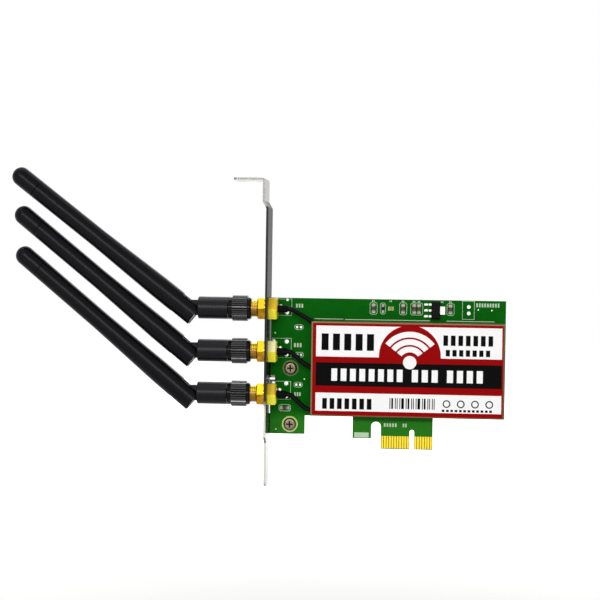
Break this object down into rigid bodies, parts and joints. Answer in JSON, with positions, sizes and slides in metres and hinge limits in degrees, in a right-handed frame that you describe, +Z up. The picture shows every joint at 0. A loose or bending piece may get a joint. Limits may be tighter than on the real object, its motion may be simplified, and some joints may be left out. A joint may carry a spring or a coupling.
{
  "type": "pcie wifi card",
  "caption": "Desktop expansion card with a contact edge, full-height bracket, shielded radio module under a printed cover and folding rod antennas on gold threaded jacks.",
  "frame": {"origin": "on the contact edge, at the middle of the key notch and of the board's thickness", "axes": "+X along the card away from the bracket, -Y out of the component side, +Z up from the contact edge"},
  "size_m": [0.1952, 0.0184, 0.1235],
  "materials": {
    "board": "green solder mask over glass laminate",
    "gold_contact": "hard gold plating",
    "bracket_steel": "nickel-plated folded sheet",
    "screw_steel": "plated",
    "gold_plate": "bright gold plating",
    "insulator": "white",
    "sleeve": "shrunk tube",
    "lead": "smooth black jacket",
    "plated_brass": "plated",
    "cover_steel": "tinned sheet",
    "label": "printed, satin",
    "module_board": "green solder mask",
    "can_steel": "tinned sheet",
    "socket_plastic": "moulded",
    "chip_plastic": "moulded",
    "tinned": "tinned",
    "capacitor": "with tinned ends",
    "lamp": "green lens on a pale base",
    "antenna_plastic": "fine satin black",
    "collar_black": "black, polished on the knurl's ridges",
    "pin_steel": "ground",
    "radiator_brass": "plain"
  },
  "bodies": {
    "card": {"circuit_board": "board", "edge_contacts": "gold_contact", "bracket": "bracket_steel", "bracket_screws": "screw_steel", "lock_washers": "gold_plate", "jack_nuts": "gold_plate", "jack_insulators": "insulator", "jack_pins": "gold_plate", "shield_cover": "cover_steel", "cover_label": "label", "module_board": "module_board", "module_can": "can_steel", "coax_sockets": "plated_brass", "module_standoffs": "plated_brass", "module_screws": "screw_steel", "module_socket": "socket_plastic", "regulator": "chip_plastic", "regulator_leads": "tinned", "capacitors": "capacitor", "resistor": "chip_plastic", "indicator_light": "lamp", "antenna_jack_1": "gold_plate", "antenna_jack_2": "gold_plate", "antenna_jack_3": "gold_plate", "heat_shrink_1": "sleeve", "heat_shrink_2": "sleeve", "heat_shrink_3": "sleeve", "pigtail_1": "lead", "pigtail_2": "lead", "pigtail_3": "lead", "coax_plug_1": "plated_brass", "coax_plug_2": "plated_brass", "coax_plug_3": "plated_brass"},
    "antenna_1_base": {"antenna_base_1": "antenna_plastic", "antenna_plug_1": "plated_brass", "plug_insulator_1": "insulator", "plug_contact_1": "gold_plate", "hinge_pin_1": "pin_steel"},
    "antenna_1_collar": {"collar_1": "collar_black"},
    "antenna_1_whip": {"whip_1": "antenna_plastic", "tip_cap_1": "antenna_plastic", "radiator_1": "radiator_brass"},
    "antenna_2_base": {"antenna_base_2": "antenna_plastic", "antenna_plug_2": "plated_brass", "plug_insulator_2": "insulator", "plug_contact_2": "gold_plate", "hinge_pin_2": "pin_steel"},
    "antenna_2_collar": {"collar_2": "collar_black"},
    "antenna_2_whip": {"whip_2": "antenna_plastic", "tip_cap_2": "antenna_plastic", "radiator_2": "radiator_brass"},
    "antenna_3_base": {"antenna_base_3": "antenna_plastic", "antenna_plug_3": "plated_brass", "plug_insulator_3": "insulator", "plug_contact_3": "gold_plate", "hinge_pin_3": "pin_steel"},
    "antenna_3_collar": {"collar_3": "collar_black"},
    "antenna_3_whip": {"whip_3": "antenna_plastic", "tip_cap_3": "antenna_plastic", "radiator_3": "radiator_brass"}
  },
  "joints": [
    {"name": "swivel_1", "type": "hinge", "parent": "card", "child": "antenna_1_base", "pos_m": [-0.07256, -0.00601, 0.05453], "axis": [1, 0, 0], "range_deg": [-90, 90]},
    {"name": "collar_1_turn", "type": "hinge", "parent": "card", "child": "antenna_1_collar", "pos_m": [-0.06776, -0.00601, 0.05453], "axis": [1, 0, 0], "continuous": true},
    {"name": "tilt_1", "type": "hinge", "parent": "antenna_1_base", "child": "antenna_1_whip", "pos_m": [-0.08991, -0.00601, 0.05453], "axis": [0, 1, 0], "range_deg": [-37.65, 15]},
    {"name": "swivel_2", "type": "hinge", "parent": "card", "child": "antenna_2_base", "pos_m": [-0.07256, -0.00601, 0.0378], "axis": [1, 0, 0], "range_deg": [-90, 90]},
    {"name": "collar_2_turn", "type": "hinge", "parent": "card", "child": "antenna_2_collar", "pos_m": [-0.06776, -0.00601, 0.0378], "axis": [1, 0, 0], "continuous": true},
    {"name": "tilt_2", "type": "hinge", "parent": "antenna_2_base", "child": "antenna_2_whip", "pos_m": [-0.08991, -0.00601, 0.0378], "axis": [0, 1, 0], "range_deg": [-37.65, 15]},
    {"name": "swivel_3", "type": "hinge", "parent": "card", "child": "antenna_3_base", "pos_m": [-0.07256, -0.00601, 0.02107], "axis": [1, 0, 0], "range_deg": [-90, 90]},
    {"name": "collar_3_turn", "type": "hinge", "parent": "card", "child": "antenna_3_collar", "pos_m": [-0.06776, -0.00601, 0.02107], "axis": [1, 0, 0], "continuous": true},
    {"name": "tilt_3", "type": "hinge", "parent": "antenna_3_base", "child": "antenna_3_whip", "pos_m": [-0.08991, -0.00601, 0.02107], "axis": [0, 1, 0], "range_deg": [-37.65, 15]}
  ],
  "couplings": [
    {"joint": "tilt_2", "follows": "tilt_1", "ratio": 1},
    {"joint": "tilt_3", "follows": "tilt_1", "ratio": 1}
  ]
}
